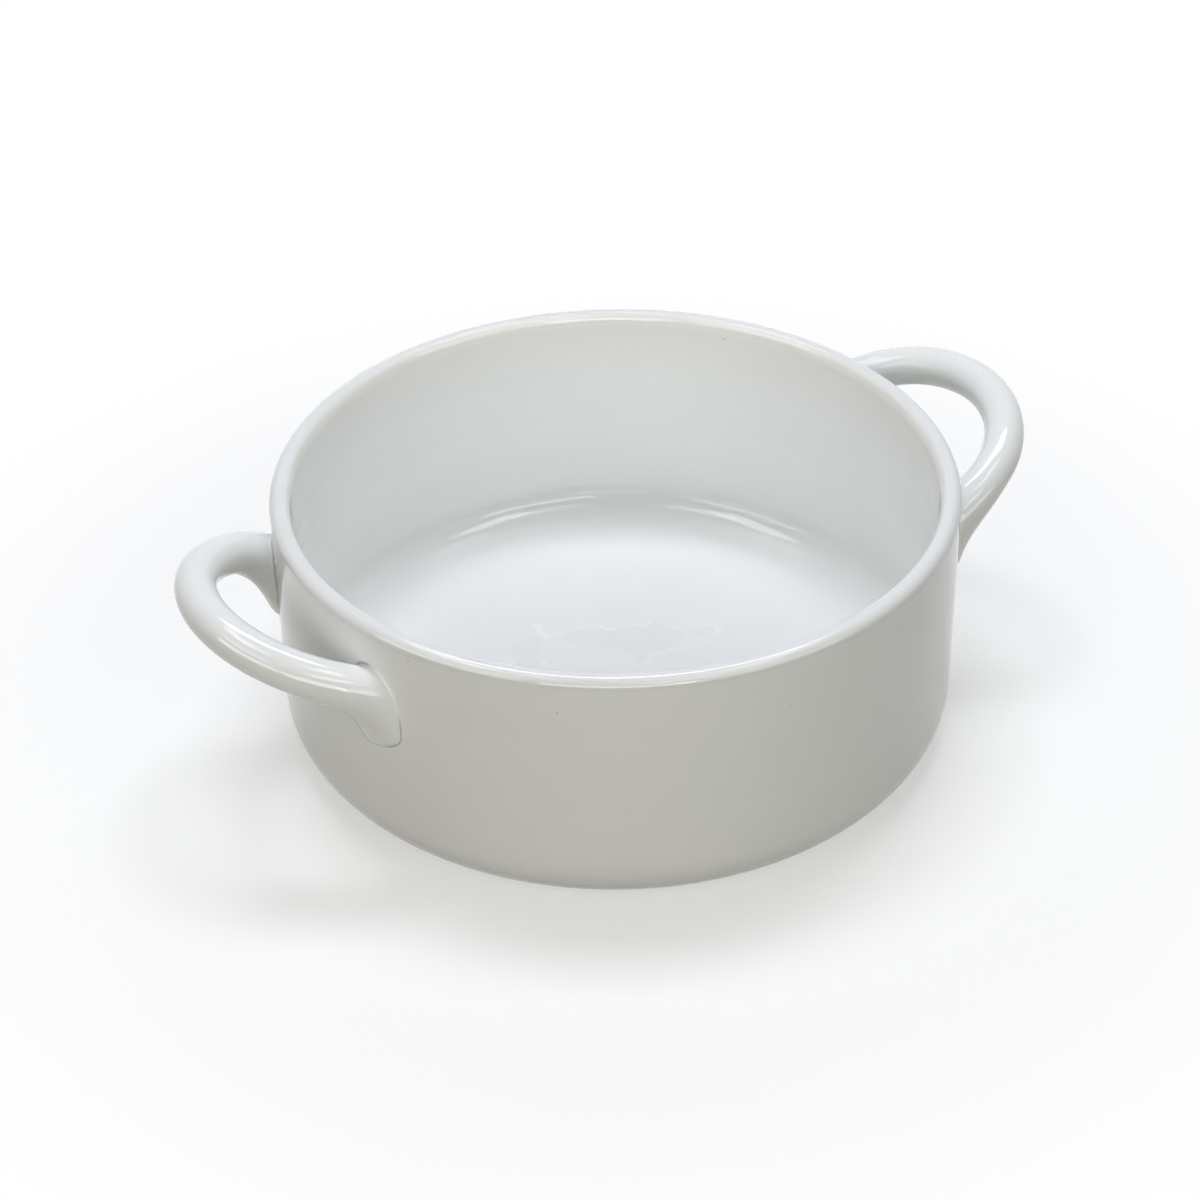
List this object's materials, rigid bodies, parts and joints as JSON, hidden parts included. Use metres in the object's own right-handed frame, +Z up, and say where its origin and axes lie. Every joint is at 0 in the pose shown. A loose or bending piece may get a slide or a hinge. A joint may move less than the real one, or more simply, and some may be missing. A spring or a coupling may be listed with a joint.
{
  "type": "casserole dish",
  "caption": "Open round casserole dish with upright wall, rounded lip and base corner, flat foot ring, and loop handles luted to the wall for lifting it out of an oven.",
  "frame": {"origin": "on the table, under the middle of the dish", "axes": "+X towards the right handle, +Y towards the back, +Z up"},
  "size_m": [0.2654, 0.2, 0.0792],
  "materials": {
    "bowl_glaze": "glossy white glaze, bare on the foot ring",
    "handle_glaze": "glossy white glaze",
    "slip_glaze": "glossy white glaze"
  },
  "bodies": {
    "root": {"bowl": "bowl_glaze", "left_handle": "handle_glaze", "right_handle": "handle_glaze", "left_front_slip_joint": "slip_glaze", "left_back_slip_joint": "slip_glaze", "right_front_slip_joint": "slip_glaze", "right_back_slip_joint": "slip_glaze"}
  },
  "joints": []
}
